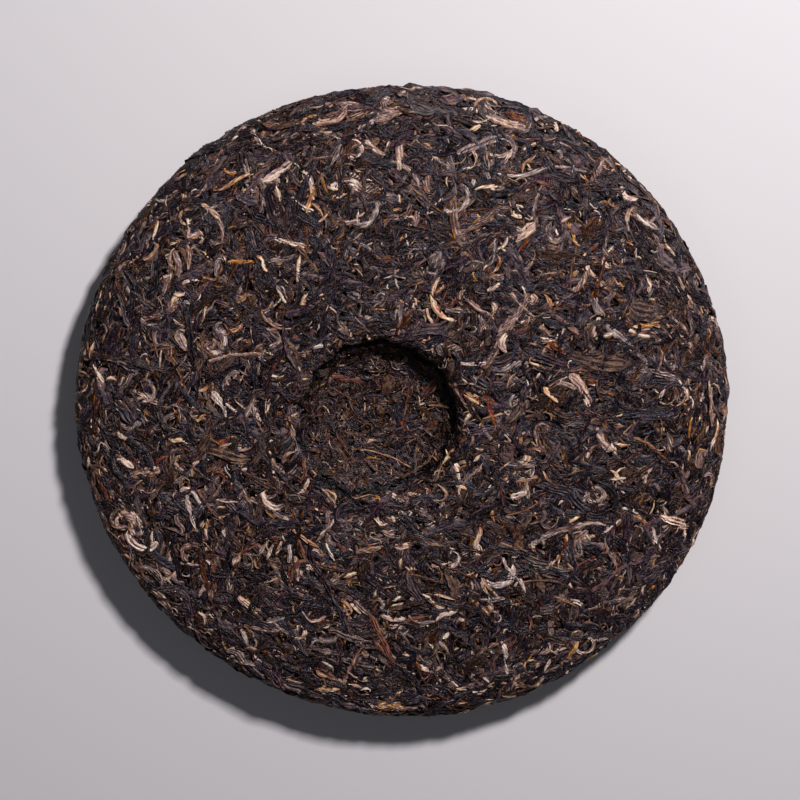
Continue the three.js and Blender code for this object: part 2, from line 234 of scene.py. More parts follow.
# Leaves that stand out on the shown face: middle (x, y) on the finished cake, heading, length and width, then
# the bend and its form where they differ from a plain bow. In millimetres; angles in degrees, turning left.
MARKED_LEAVES = {
    "tan_leaves": (
        (26.7, 81.9, 20, 23, 3, -140, "hook"), (16.1, 60.6, -78, 13, 3, 40), (36.8, 56.2, 50, 7, 4, 15),
        (41.2, 74.3, 18, 28, 1.3, 60, "wave"), (-37.3, 73.9, 33, 10, 2.6, 20), (-55.7, 59.7, -55, 14, 1.8, -75),
        (65.6, 24.7, -42, 10, 2, 15), (71.7, 25.2, -22, 6, 1.6), (54.4, 8.3, -62, 11, 3, -40),
        (53.8, 41.3, 60, 6.5, 2.8, 20), (58.9, 33.5, -65, 6, 2.4, 20), (-42.9, -68, -9, 13, 2.3),
        (-34.9, -68.3, -35, 18, 1.9, 160, "hook"), (-38.9, -65.1, 15, 6, 2.8, 30), (-50.3, -79.8, -12, 9, 2.2),
        (59.5, -25.1, 20, 12, 1.8, 300), (64.6, -43.5, -68, 10, 2, 15), (47.5, -36.8, 22, 15, 2, -30),
        (54.4, -39.8, 70, 9, 2, -90), (34.8, -50.3, -52, 13, 1.6, 40, "wave"), (94.4, 3, 95, 14, 2.2),
        (86.8, -20.9, -70, 9, 2.4), (-64.6, -30.7, 103, 12, 2.6, -15), (-78.6, -17.8, 15, 9.5, 3.4),
        (-9.6, -70.7, -5, 14, 1.7, 100), (33.1, 30.6, 58, 16, 3.6, 25), (27.2, 19.4, 68, 9, 2.4, 20),
        (20.4, 16.8, -3, 9, 1.8, 15), (33.1, 15.7, 30, 10, 2.4, 60, "wave"), (-4.1, 91.1, 28, 9, 3, 15),
        (17.9, 7.2, -62, 7.5, 2.2, 15), (-40.5, -42.7, 62, 6, 2), (-43.5, -42.1, 45, 5.5, 1.8),
        (-37.7, -41.2, 62, 5, 1.8), (-34.6, -43, 78, 6, 1.8), (-32.4, -48.1, 85, 8, 1.8),
        (30.1, 88.9, -18, 13, 2.4, 15), (73.7, 58.7, -35, 8, 2, 20), (58.5, 74.5, 60, 9, 2.2, 20),
        (36.6, -15.2, -3, 8, 1.6), (64.3, -35.3, 38, 7, 2), (84.1, -34.2, -15, 10, 3.6),
        (78.6, -40.3, -72, 6.5, 2), (61.1, -7.3, -68, 8, 2.4), (13.3, -46.4, 8, 8, 2),
        (20.8, -87.7, 8, 7.5, 1.8), (-37.8, 29.8, -25, 17, 1.7, 100), (-64, 48.9, 95, 8, 1.8),
        (-62.5, 55.2, 20, 4, 2.4), (-20.9, 89.7, 12, 12, 2.4, 60, "hook"), (-19.4, 79.1, 60, 7, 2, 20),
        (-43.5, 84, -60, 5, 2), (-0.6, 79.4, 100, 9, 2.4, 30, "wave"), (-36.9, 23.4, 32, 7, 3),
        (-46, 3.1, 62, 6.5, 2.4), (-50.6, 18.8, 8, 18, 1.5, -20), (-16.3, 59.4, 5, 6.5, 2),
        (-0.8, 30.1, 88, 9, 1.8), (-55.3, 22.4, 50, 14, 2, 220), (-55.8, -22.4, 50, 10, 1.8, 20),
        (-53.5, -26.3, -3, 8, 1.5), (-10.7, -41.7, 8, 8.5, 2), (0.1, -40.6, 10, 4, 2.4),
        (-3.7, -36.8, -25, 6, 2), (-12.7, -60.5, -50, 5.5, 2.8), (-2.7, -64, -8, 7, 2),
        (-59.1, -57, 80, 5, 2),
    ),
    "golden_buds": (
        (31.8, 78.7, 60, 5, 2.2), (68, 60.1, 95, 7.5, 1.6, -60, "hook"), (-50.3, 71.1, 38, 13, 1.4, 40, "wave"),
        (-33.3, 53.2, -12, 13, 2, 30), (-48.3, 47.3, 3, 9, 1.8), (-29.4, 36.3, 60, 4, 2),
        (-48, 36.3, 40, 4, 2.4), (73.9, 27.8, 8, 8, 1.7, 30), (45, 6.8, -50, 6, 2),
        (-40, -51.6, 25, 7, 2.4), (-29.6, -38.4, -38, 10, 1.8), (-22.2, -42.5, -70, 6, 1.6),
        (35.5, -24.5, 20, 4, 2.6), (-92.6, 12.7, -60, 6.5, 2.2), (-88.6, 11.1, 10, 4, 1.4, -120),
        (11.2, 35.2, -70, 17, 1.9, 120), (11.7, 1.9, 0, 7, 1.7), (-9.4, -9.7, 15, 3, 1.6),
        (14.5, -13, 50, 6, 2), (37.7, -19.5, 12, 6.5, 1.8), (17.8, -21.6, -22, 4.5, 2),
        (66.3, -19.9, 5, 4, 1.3), (35.9, -85.2, 60, 4, 2), (-65.6, 22.9, -60, 5.5, 2.4),
        (-63.8, -17, 75, 9, 1.7, -110), (-52.6, -8.6, 12, 7, 1.6), (-68.2, -7.6, 10, 7, 1.6, 60, "wave"),
        (-23.5, -88.5, 3, 8, 2), (-34, -85.7, -15, 5, 2), (-3.9, -94.5, 0, 8.5, 3.2),
        (-51.1, -45.1, 50, 5, 2.4),
    ),
    "pale_threads": (
        (-68.7, 47, -75, 10, 1.5, 150), (-65.4, 60.9, 80, 8, 1.2, -180), (24.5, 94.5, 20, 10, 1.3, -150),
        (27.3, -54.6, -62, 9, 1.2), (57.4, -74.6, 20, 14, 1.4, 280), (20.4, -6.3, 90, 8, 1.5, 200),
        (-59.8, 30.8, 72, 6.5, 1.4), (-65.4, -47.3, -6, 6.5, 1.1, 5), (-6, -14.2, -18, 20, 0.7, -40),
        (8, -15.3, 35, 9, 0.6, 30),
    ),
    "dark_threads": ((-12.5, -1.2, 38, 7, 0.6, -20),),
    "stems": (
        (51.1, 46.1, 85, 12.5, 1.1, 5), (60, 44.3, 80, 10, 1.2, 5), (66.2, 45.8, -52, 11, 1.1, 5),
        (48.7, 29.1, -40, 11, 1.6, 5), (-59, -28.4, -52, 14, 1.8), (1.4, 2.7, 82, 9, 0.8),
    ),
    "russet_leaves": (
        (45.6, 22.2, -42, 9, 2), (30.4, -24.1, 92, 7.5, 1.8), (-16.9, -42.1, -38, 7, 2.6),
        (-60.5, -52.1, -75, 18, 1.8, 20, "wave"), (-16.6, 10, -15, 10, 2.8), (8.5, 7.3, 50, 7, 3.4),
        (0.2, -8.2, 3, 8, 0.9), (-18.5, -10, -60, 9, 0.9),
    ),
    "leaf_scraps": (
        (46.9, 48.7, -5, 12, 5), (57.5, 57.9, 60, 10, 6), (36.7, 67.2, 10, 7.5, 4), (60, 17.3, -12, 17, 6.5),
        (74.5, 32.6, -10, 10, 7.5), (-4.4, 8.1, 80, 6.5, 5), (-24, -17, -20, 7, 2.8),
    ),
    "plum_leaves": ((-31.8, -56.6, -22, 11, 5),),
    "umber_leaves": ((44.6, -8.1, -74, 19, 3), (46.1, -70.3, -28, 12, 4), (-83.5, 16.9, -8, 30, 3.4, -30)),
}


def smooth(low, high, x):
    share = np.clip((x - low) / (high - low), 0, 1)
    return share * share * (3 - 2 * share)


def unit(v):
    return v / np.maximum(np.linalg.norm(v, axis=-1, keepdims=True), 1e-9)


def dot(a, b):
    return np.sum(a * b, -1, keepdims=True)


# Height of the back face: a low crest round the hollow that falls to the shoulder, and the knot's mark.
def back_height(r):
    fall = np.maximum(0, (r - HOLLOW_LIP_RADIUS) / (SHOULDER_RADIUS - HOLLOW_LIP_RADIUS))
    face = BACK_CREST_HEIGHT - (BACK_CREST_HEIGHT - BACK_SHOULDER_HEIGHT) * fall**BACK_ROUNDNESS
    wall = 1 - smooth(HOLLOW_FLOOR_RADIUS, HOLLOW_LIP_RADIUS, r)
    dish = HOLLOW_DISH * (1 - np.minimum(1, r / HOLLOW_FLOOR_RADIUS) ** 2)
    knot = KNOT_HEIGHT * (1 - smooth(0, KNOT_RADIUS, r))
    return face - HOLLOW_DEPTH * wall - dish + knot


# Height of the front face, which lies down: flat in the middle, rising to the shoulder.
def front_height(r):
    rise = np.maximum(0, (r - FRONT_FLAT_RADIUS) / (SHOULDER_RADIUS - FRONT_FLAT_RADIUS))
    gap = FRONT_LEAF_GAP * smooth(RESTING_PATCH_RADIUS, RESTING_PATCH_RADIUS + RESTING_PATCH_EDGE, r)
    return gap + (FRONT_SHOULDER_HEIGHT - FRONT_LEAF_GAP) * rise**FRONT_ROUNDNESS


def squared(v):
    return np.sign(v) * np.abs(v) ** (2 / RIM_SQUARENESS)


# The rim, a squared-off half ellipse from the back shoulder (0) to the front shoulder (1).
def rim_curve(share):
    angle = np.pi * (0.5 - share)
    half_height = np.where(
        share < 0.5, BACK_SHOULDER_HEIGHT - RIM_MIDDLE_HEIGHT, RIM_MIDDLE_HEIGHT - FRONT_SHOULDER_HEIGHT
    )
    r = SHOULDER_RADIUS + (BODY_RADIUS - SHOULDER_RADIUS) * squared(np.cos(angle))
    return r, RIM_MIDDLE_HEIGHT + half_height * squared(np.sin(angle))


# The half section in even steps, from the middle of the back face round the rim to the front face's middle.
def half_section():
    back, rim = np.linspace(0, SHOULDER_RADIUS, 2 * RIM_SAMPLES), np.linspace(0, 1, RIM_SAMPLES)
    front = back[::-1]
    rim_r, rim_z = rim_curve(rim)
    r = np.concatenate([back[:-1], rim_r, front[1:]])
    z = np.concatenate([back_height(back)[:-1], rim_z, front_height(front)[1:]])
    along = np.concatenate([[0], np.cumsum(np.hypot(np.diff(r), np.diff(z)))])
    even = np.arange(0, along[-1], SECTION_STEP)
    return even, np.interp(even, along, r), np.interp(even, along, z)


# A running mean over a few values to either side.
def softened(values, reach):
    padded = np.pad(values, reach, mode="edge")
    return np.convolve(padded, np.ones(2 * reach + 1) / (2 * reach + 1), "valid")


# How far along the section it first reaches a radius.
def along_to(radius):
    return ALONG[np.argmax(RADIUS >= radius)]


ALONG, RADIUS, HEIGHT = half_section()
FULL_LENGTH = ALONG[-1]
RADIUS_SLOPE = softened(np.gradient(RADIUS, ALONG), 5)
HEIGHT_SLOPE = softened(np.gradient(HEIGHT, ALONG), 5)
FLOOR_ALONG = along_to(HOLLOW_FLOOR_RADIUS)
GROOVE_ALONG = along_to(GROOVE_RADIUS)
LIP_ALONG = along_to(HOLLOW_LIP_RADIUS)
SHOULDER_ALONG = along_to(SHOULDER_RADIUS)
RIM_ALONG = ALONG[np.argmax(RADIUS)]
UNDER_ALONG = ALONG[len(RADIUS) - 1 - np.argmax(RADIUS[::-1] >= SHOULDER_RADIUS)]
MAP_REACH = RIM_ALONG + MAP_OVERLAP
CELLS = 2 * int(MAP_REACH / CELL) + 2

# Stretches of the section where the rim's and the lip's own ways begin and end
RIM_PRESS_START = (SHOULDER_ALONG - 5, SHOULDER_ALONG + 4)
RIM_START, RIM_END = (SHOULDER_ALONG - 6, SHOULDER_ALONG + 4), (UNDER_ALONG - 4, UNDER_ALONG + 6)
LIP_START, LIP_END = (LIP_ALONG - 6, LIP_ALONG - 2), (LIP_ALONG, LIP_ALONG + 6)


# The section's radius and height at distances along it, and how fast each changes there.
def section(along):
    return [np.interp(along, ALONG, line) for line in (RADIUS, HEIGHT, RADIUS_SLOPE, HEIGHT_SLOPE)]


# Each face is laid out flat on a map, its middle at the middle, with true distances along the spokes.
# Gives, for points of the map, their place on the body, the directions away from the middle, round it and
# facing out, and the steps on the map for a millimetre away and for a millimetre round.
def on_body(points, side):
    reach = np.hypot(points[..., 0], points[..., 1])
    turn = np.arctan2(points[..., 1], points[..., 0])
    r, z, r_slope, z_slope = section(np.where(side > 0, reach, FULL_LENGTH - reach))
    cos, sin = np.cos(turn), np.sin(turn)
    place = np.stack([r * cos, r * sin, z], -1)
    away = unit(np.stack([r_slope * cos, r_slope * sin, z_slope], -1)) * np.asarray(side)[..., None]
    around = np.stack([-sin, cos, np.zeros_like(sin)], -1)
    facing = unit(np.stack([-z_slope * cos, -z_slope * sin, r_slope], -1))
    stretch = np.clip(reach / np.maximum(r, 1e-6), 1, MOST_STRETCH)
    spoke, ring = np.stack([cos, sin], -1), np.stack([-sin, cos], -1) * stretch[..., None]
    return place, away, around, facing, spoke, ring


# Walks over the body from map points, turning by the given angles, and gives the points passed
# and the map's step for a millimetre sideways at each.
def walk(start, side, heading, turns, step):
    points, sideways = [start], []
    direction = None
    for k in range(STATIONS):
        _, away, around, facing, spoke, ring = on_body(points[-1], side)
        if direction is None:
            direction = away * np.cos(heading)[..., None] + around * np.sin(heading)[..., None]
        direction = unit(direction - dot(direction, facing) * facing)
        across = np.cross(direction, facing)
        sideways.append(dot(across, away) * spoke + dot(across, around) * ring)
        if k < STEPS:
            angle = turns[..., k, None]
            direction = direction * np.cos(angle) + across * np.sin(angle)
            ahead = dot(direction, away) * spoke + dot(direction, around) * ring
            points.append(points[-1] + ahead * step[..., None])
    return np.stack(points, -2), np.stack(sideways, -2)


# Gentle unevenness over a face's map, from a few crossing waves for each wavelength.
def lumps(points, seed):
    draw = np.random.default_rng(seed)
    total = 0
    for wavelength, height in LUMPS:
        for _ in range(LUMP_WAVES):
            angle, phase = draw.uniform(0, 2 * np.pi, 2)
            waves = 2 * np.pi / (wavelength * draw.uniform(*LUMP_SPREAD))
            swing = points[..., 0] * math.cos(angle) + points[..., 1] * math.sin(angle)
            total = total + height / 2 * np.sin(waves * swing + phase)
    return total


def wave_sum(waves, turn):
    return sum(height * np.cos(count * (turn - math.radians(crest))) for count, height, crest in waves)


# Depth of the groove in the hollow's wall: at its foot on the right, and higher up on the left.
def groove(along, turn):
    middle = GROOVE_ALONG + GROOVE_CLIMB * (1 - np.cos(turn)) / 2 + wave_sum(GROOVE_WANDER, turn)
    depth = GROOVE_DEPTH + wave_sum(GROOVE_WAVES, turn)
    return depth * np.exp(-(((along - middle) / GROOVE_WIDTH) ** 2))


# How deep the core lies under the body's surface: less in the hollow, with its finer leaves, and underneath.
def core_depth(along, turn):
    shallow = 1 - smooth(FLOOR_ALONG, LIP_ALONG, along) + smooth(RIM_ALONG, UNDER_ALONG, along)
    return CORE_SINK + (SHALLOW_CORE_SINK - CORE_SINK) * shallow + groove(along, turn)


# The cells of a face's map, their distance along the section and their turn round the middle.
def map_cells(side):
    line = (np.arange(CELLS) - CELLS / 2 + 0.5) * CELL
    points = np.stack(np.meshgrid(line, line, indexing="ij"), -1)
    reach, turn = np.hypot(points[..., 0], points[..., 1]), np.arctan2(points[..., 1], points[..., 0])
    return points, reach if side > 0 else FULL_LENGTH - reach, turn


# The cells that points of a map lie in, as two index arrays.
def cell_of(points):
    cells = np.clip((points / CELL + CELLS / 2).astype(np.int32), 0, CELLS - 1)
    return cells[..., 0], cells[..., 1]


# The level at which the press stops the leaves, over one face's map.
def press_level(side):
    points, along, _ = map_cells(side)
    in_hollow = 1 - smooth(FLOOR_ALONG, LIP_ALONG, along)
    at_rim = smooth(*RIM_PRESS_START, along)
    level = PRESS_LEVEL + (HOLLOW_PRESS_LEVEL - PRESS_LEVEL) * in_hollow
    level = level + (RIM_PRESS_LEVEL - PRESS_LEVEL) * at_rim
    level = level + lumps(points, SEED + side) * (1 - HOLLOW_SMOOTHING * in_hollow - RIM_SMOOTHING * at_rim)
    if side < 0:
        level = np.minimum(level, np.interp(along, ALONG, HEIGHT))
    return level.astype(np.float32)


# Where strips may fall: places spread evenly over the surface, each with others near it to choose from.
# Gives their distance along the section and their middles on the map.
def places(side, low, high, count):
    steps = np.linspace(low, high, PLACE_STEPS)
    total = np.cumsum(np.interp(steps, ALONG, RADIUS))
    even = (rng.uniform(0, 1, 2) + np.arange(count)[:, None] * EVEN_STEPS) % 1
    along = np.interp(even[:, 0] * total[-1], total, steps)
    reach = along if side > 0 else FULL_LENGTH - along
    turn = 2 * np.pi * even[:, 1]
    middle = np.stack([reach * np.cos(turn), reach * np.sin(turn)], -1)[:, None]
    middle = middle + rng.normal(0, PLACE_SPREAD, (count, CHOICES, 2))
    reach = np.linalg.norm(middle, axis=-1)
    along = np.clip(reach if side > 0 else FULL_LENGTH - reach, low, high)
    kept = along if side > 0 else FULL_LENGTH - along
    return along, middle * (kept / reach)[..., None]


# Which way strips lie, as an angle from the spoke: any way on the face, more round than across at the rim
# and at the hollow's lip, and swirling round the knot's mark.
def headings(along, in_hollow):
    near_rim = smooth(*RIM_START, along) * (1 - smooth(*RIM_END, along))
    near_lip = smooth(*LIP_START, along) * (1 - smooth(*LIP_END, along))
    near_knot = in_hollow * (1 - smooth(KNOT_REACH, FLOOR_ALONG, along))
    freedom = 1 - RIM_ORDER * near_rim - LIP_ORDER * near_lip - KNOT_ORDER * near_knot
    heading = np.pi / 2 + rng.uniform(-0.5, 0.5, along.shape) * np.pi * freedom + KNOT_SWIRL * near_knot
    return heading + np.pi * rng.integers(0, 2, along.shape)


# How strips curl, as the turn at each station: bows, waves, hooked ends and sharp bends, all a little wriggly.
def curls(kind, count):
    t = np.linspace(-1, 1, STEPS)
    form = rng.uniform(0, 1, (count, 1))
    bend = kind.bend * rng.standard_normal((count, 1))
    hook = np.where(t > rng.uniform(*HOOK_START, (count, 1)), HOOK_TURN, SHAFT_TURN)
    shape = np.where(form < BOWS, 1.0, np.where(form < BOWS_AND_WAVES, WAVE_TURN * np.sin(np.pi * t), hook))
    turns = bend * shape / STEPS
    bent = rng.uniform(0, 1, count) < SHARP_BENDS
    bent_at = rng.integers(2, STATIONS - 3, count)
    turns[np.arange(count), bent_at] += bent * rng.normal(0, SHARP_TURN, count)
    return turns + rng.normal(0, WRIGGLE + CURLY_WRIGGLE * kind.bend, (count, STEPS))


# Half the width at each station: fuller in the middle, tapered by its own amount to each end, and ragged.
def half_widths(kind, width):
    count, share = len(width), np.linspace(0, 1, STATIONS)
    tips = np.clip(kind.tip * rng.uniform(*TAPER, (count, 2)), *TIP_LIMITS)
    place = share ** rng.uniform(*WIDEST, (count, 1))
    bell = np.sin(np.pi * np.clip(place, 0, 1)) ** rng.uniform(*FULLNESS, (count, 1))
    ends = tips[:, :1] * (1 - share) + tips[:, 1:] * share
    ragged = 1 + rng.normal(0, RAGGED, (count, STATIONS))
    return width[:, None] / 2 * (ends + (1 - ends) * bell) * ragged


# Half the thickness at each station, thinner towards the ends.
def half_heights(kind, width):
    share = np.linspace(0, 1, STATIONS)
    full = THIN_END + THICKER * np.sin(np.pi * np.clip(share, *THICKNESS_ENDS)) ** 0.5
    return (width * kind.flat * rng.uniform(*THICKNESS_SPREAD, len(width)) / 2)[:, None] * full


# How far each station is bent up or down by its neighbours, with some of the ends tucked in.
def sway(length, amount):
    count, share = len(length), np.linspace(0, 1, STATIONS)
    wavelength = rng.uniform(*SWAY_WAVELENGTH, (count, 1))
    phase = rng.uniform(0, ANY_PHASE, (count, 1))
    waves = SWAY * np.sin(2 * np.pi * share * length[:, None] / wavelength + phase)
    tuck = rng.uniform(0, TUCK, (count, 2)) * (rng.uniform(0, 1, (count, 2)) < TUCKED_ENDS)
    ends = tuck[:, :1] * (1 - smooth(0, TUCK_FROM_START, share)) + tuck[:, 1:] * smooth(TUCK_FROM_END, 1, share)
    return (waves - ends) * amount


# Strips of one kind with the given runs and sizes.
def strips_of(kind, side, runs, length, width, **more):
    count = len(length)
    return dict(
        runs,
        kind=np.full(count, KINDS.index(kind)),
        side=np.full(count, side),
        half_width=half_widths(kind, width),
        half_height=half_heights(kind, width),
        length=length,
        width=width,
        tone=rng.uniform(0, 1, count),
        **more,
    )


# Strips of one kind in one part of the cake: where they may fall, how they run and how large they are.
def draw_strips(kind, side, low, high, count, scale=1.0, in_hollow=0.0):
    along, middle = places(side, low, high, count)
    size = rng.uniform(0, 1, count) ** SHORTER
    breadth = WIDTH_BY_LENGTH * size + WIDTH_FREE * rng.uniform(0, 1, count) ** NARROWER
    (shortest, longest), (thinnest, widest) = kind.length, kind.width
    length = (shortest + (longest - shortest) * size) * rng.uniform(*LENGTH_SPREAD, count) * scale
    width = (thinnest + (widest - thinnest) * breadth) * scale
    return strips_of(
        kind, side, run(middle, headings(along, in_hollow), curls(kind, count), length, side), length, width,
        sway=sway(length, 1 - HOLLOW_CALM * in_hollow),
        spring=rng.normal(0, SPRING_BACK * (1 - HOLLOW_STIFFNESS * in_hollow), count),
        order=rng.uniform(kind.late, 1, count) * (1 - LARGE_SOONER * size),
        shade=rng.uniform(DARK_CUT * in_hollow, 1 - PALE_CUT * in_hollow, count),
        weight=np.full(count, (SHOWN_WEIGHT if side > 0 else 1.0) / scale**2),
        least_room=np.full(count, LEAST_ROOM if kind.late < LATE else ANY_ROOM),
    )


# The point of the back face's map that a place on the finished cake comes from.
def map_points(place):
    guess = np.append(place, np.zeros((len(place), 1)), 1)
    for _ in range(SETTLING_ROUNDS):
        guess[:, :2] += place - 1000 * finished(guess)[:, :2]
    r = np.hypot(guess[:, 0], guess[:, 1])
    on_back = ALONG < RIM_ALONG
    return guess[:, :2] * (np.interp(r, RADIUS[on_back], ALONG[on_back]) / r)[:, None]


# The strips of one kind that stand out, laid last where the list says.
def marked_strips(kind):
    rows = [row + (PLAIN_BEND, "bow")[len(row) - 5 :] for row in MARKED_LEAVES.get(kind.name, ())]
    count = len(rows)
    numbers = np.array([row[:6] for row in rows], float).reshape(count, 6)
    heading, length, width = numbers[:, 2:5].T
    middle = map_points(numbers[:, :2])
    heading = np.radians(heading) - np.arctan2(middle[:, 1], middle[:, 0])
    t = np.linspace(0, 1, STEPS)
    forms = {
        "bow": np.ones_like(t),
        "wave": MARKED_WAVE * np.sin(2 * np.pi * t),
        "hook": np.where(t > MARKED_HOOK_START, HOOK_TURN, MARKED_SHAFT),
    }
    turns = [-math.radians(row[5]) / STEPS * forms[row[6]] for row in rows]
    turns = np.array(turns).reshape(count, STEPS) + rng.normal(0, MARKED_WRIGGLE, (count, STEPS))
    middle, heading = np.repeat(middle[:, None], CHOICES, 1), np.repeat(heading[:, None], CHOICES, 1)
    return strips_of(
        kind, BACK, run(middle, heading, turns, length, BACK), length, width,
        sway=sway(length, MARKED_SWAY),
        spring=rng.uniform(*MARKED_SPRING, count),
        order=MARKED_ORDER - width / 10,
        shade=rng.uniform(*MARKED_SHADES, count),
        weight=np.full(count, MARKED_WEIGHT),
        least_room=np.full(count, ANY_ROOM),
    )


# The runs of strips over the body, each with its middle at the given place.
def run(middle, heading, turns, length, side):
    sides = np.full(middle.shape[:2], side)
    turns = np.repeat(turns[:, None], CHOICES, 1)
    step = np.repeat((length / STEPS)[:, None], CHOICES, 1)
    *_, spoke, ring = on_body(middle, sides)
    back = -(spoke * np.cos(heading)[..., None] + ring * np.sin(heading)[..., None])
    start = middle + back * (length / 2)[:, None, None]
    turned = np.arctan2(start[..., 1], start[..., 0]) - np.arctan2(middle[..., 1], middle[..., 0])
    first_half = turns[..., : STATIONS // 2].sum(-1)
    points, sideways = walk(start, sides, heading - turned + first_half, turns, step)
    points = points + (middle - points.mean(-2))[..., None, :]
    return dict(points=points, sideways=sideways)


# All the strips to be laid, in one dictionary of arrays.
def all_strips():
    batches = []
    for kind in KINDS:
        face, hollow = int(FACE_STRIPS * kind.face_share), int(HOLLOW_STRIPS * kind.hollow_share)
        under = int(UNDERSIDE_STRIPS * kind.face_share)
        batches.append(draw_strips(kind, BACK, LIP_ALONG - PARTS_OVERLAP, RIM_ALONG + PARTS_OVERLAP, face))
        batches.append(draw_strips(kind, BACK, 0, LIP_ALONG - PARTS_OVERLAP / 2, hollow, HOLLOW_SCALE, 1.0))
        batches.append(draw_strips(kind, FRONT, RIM_ALONG - PARTS_OVERLAP, FULL_LENGTH, under, UNDERSIDE_SCALE))
        batches.append(marked_strips(kind))
    return {key: np.concatenate([batch[key] for batch in batches]) for key in batches[0]}


# Values at the stations, and at even steps between them.
def finer(values):
    at = np.linspace(0, STEPS, FINER * STEPS + 1)
    low = np.minimum(at.astype(int), STATIONS - 2)
    share = (at - low).reshape((-1,) + (1,) * (values.ndim - 1))
    return values[low] * (1 - share) + values[low + 1] * share


# Places across a strip where it rests, over half its width, and the height of its rounded back there
ACROSS = np.array([-0.9, -0.45, 0, 0.45, 0.9])
ROUNDED = np.sqrt(1 - 0.75 * ACROSS**2)


# Lays the strips one after another where the heap is lowest, resting on what is there and pressed level.
# Adds to them the place taken, the height of each station and of the press there, and the part that shows.
def lay(strips):
    ground, press, stops = {}, {}, {}
    for side in (BACK, FRONT):
        _, along, turn = map_cells(side)
        ground[side] = -core_depth(along, turn).astype(np.float32)
        press[side] = press_level(side)
        stops[side] = press[side] - groove(along, turn).astype(np.float32)
    count = len(strips["kind"])
    path = np.zeros((count, STATIONS, 2))
    lift, level = np.zeros((count, STATIONS)), np.zeros((count, STATIONS))
    marks = [None] * count
    for i in np.argsort(strips["order"]):
        side = strips["side"][i]
        here, limit = ground[side], stops[side]
        cells = cell_of(strips["points"][i])
        room = (limit[cells] - here[cells]).mean(-1)
        choice = int(room.argmax())
        if room[choice] < strips["least_room"][i]:
            continue
        path[i] = strips["points"][i, choice]
        across = strips["sideways"][i, choice] * strips["half_width"][i][:, None]
        foot = finer(path[i])[:, None] + finer(across)[:, None] * ACROSS[:, None]
        cells = cell_of(foot)
        spine = tuple(index[:, len(ACROSS) // 2] for index in cells)
        below = here[cells]
        half = finer(strips["half_height"][i])
        rest = np.sort(below, 1)[:, -2]
        rest = softened(rest, 2) * BRIDGED + rest * FOLLOWED
        crest = np.minimum(rest + half * CREST_OVER_REST, limit[spine] + strips["spring"][i])
        centre = softened(crest, 2) + finer(strips["sway"][i]) - half
        tops = (centre[:, None] + half[:, None] * ROUNDED).astype(np.float32)
        here[cells] = np.maximum(below, tops)
        lift[i], level[i] = centre[::FINER], press[side][spine][::FINER]
        marks[i] = (side, cells[0] * CELLS + cells[1], tops)
        reach = np.hypot(foot[..., 0], foot[..., 1])
        if reach.max() > FULL_LENGTH - MAP_REACH:
            other = cell_of(foot * ((FULL_LENGTH - reach) / reach)[..., None])
            there = ground[-side]
            there[other] = np.maximum(there[other], tops)
    strips.update(path=path, lift=lift, level=level)
    find_showing(strips, marks, ground)


# For each strip the share that shows from outside and the first and last station of it.
def find_showing(strips, marks, ground):
    flat = {side: ground[side].ravel() for side in ground}
    share, first, last = np.zeros(len(marks)), np.zeros(len(marks)), np.zeros(len(marks))
    for i in (i for i, mark in enumerate(marks) if mark is not None):
        side, cells, tops = marks[i]
        seen = tops > flat[side][cells] - SHOWING
        share[i] = seen.mean()
        where = np.flatnonzero(seen.any(1))
        if len(where):
            first[i], last[i] = where[0], where[-1]
    strips["share"] = share
    strips["first"] = np.maximum(first / FINER - SHOWN_MARGIN, 0)
    strips["last"] = np.minimum(last / FINER + SHOWN_MARGIN, STEPS)


# Makes the turned form uneven: the outline and the thickness waver, and the hollow sits off the middle.
def uneven(points):
    x, y, z = points[..., 0], points[..., 1], points[..., 2]
    r, turn = np.hypot(x, y), np.arctan2(y, x)
    outer = smooth(HOLLOW_LIP_RADIUS, SHOULDER_RADIUS, r)
    outward = 1 + wave_sum(OUTLINE_WAVES, turn) / BODY_RADIUS * outer
    thickness = 1 + wave_sum(THICKNESS_WAVES, turn) * outer
    shift = 1 - smooth(*OFFSET_FADE, r)
    x, y = x * outward + HOLLOW_OFFSET[0] * shift, y * outward + HOLLOW_OFFSET[1] * shift
    return np.stack([x, y, z * thickness], -1)


def outline_middle():
    turn = np.linspace(0, 2 * np.pi, 720)
    outline = np.stack([BODY_RADIUS * np.cos(turn), BODY_RADIUS * np.sin(turn), np.zeros_like(turn)], -1)
    outline = uneven(outline)
    return (outline.min(0) + outline.max(0)) / 2 * np.array([1, 1, 0])


MIDDLE = outline_middle()


# Places on the turned form brought to the finished cake, in metres.
def finished(points):
    placed = uneven(points) - MIDDLE
    placed[..., 2] = np.maximum(placed[..., 2], 0)
    return placed / 1000


# Values at places between stations, on a smooth curve through them.
def sample(values, at):
    low = np.clip(np.floor(at).astype(int), 0, STATIONS - 2)
    rows = np.arange(len(values))[:, None]
    x = at - low
    if values.ndim == 3:
        x = x[..., None]
    a, b = values[rows, np.maximum(low - 1, 0)], values[rows, low]
    c, d = values[rows, low + 1], values[rows, np.minimum(low + 2, STEPS)]
    return b + 0.5 * x * (c - a + x * (2 * a - 5 * b + 4 * c - d + x * (3 * (b - c) + d - a)))


# The middle lines of strips at places along them, with the directions along, to the side and up, rolled a bit.
def strip_axis(strips, at, share):
    count = len(at)
    place, _, _, facing, _, _ = on_body(strips["path"], np.repeat(strips["side"][:, None], STATIONS, 1))
    centre = sample(place + facing * strips["lift"][..., None], at)
    along = unit(np.gradient(centre, axis=1))
    side = unit(np.cross(along, unit(sample(facing, at))))
    up = np.cross(side, along)
    tilt = TILT / (1 + strips["width"][:, None])
    roll = rng.normal(0, 1, (count, 1)) * tilt + rng.normal(0, ROLL, (count, 1)) * tilt * (share - 0.5)
    cos, sin = np.cos(roll)[..., None], np.sin(roll)[..., None]
    return centre, along, side * cos + up * sin, up * cos - side * sin


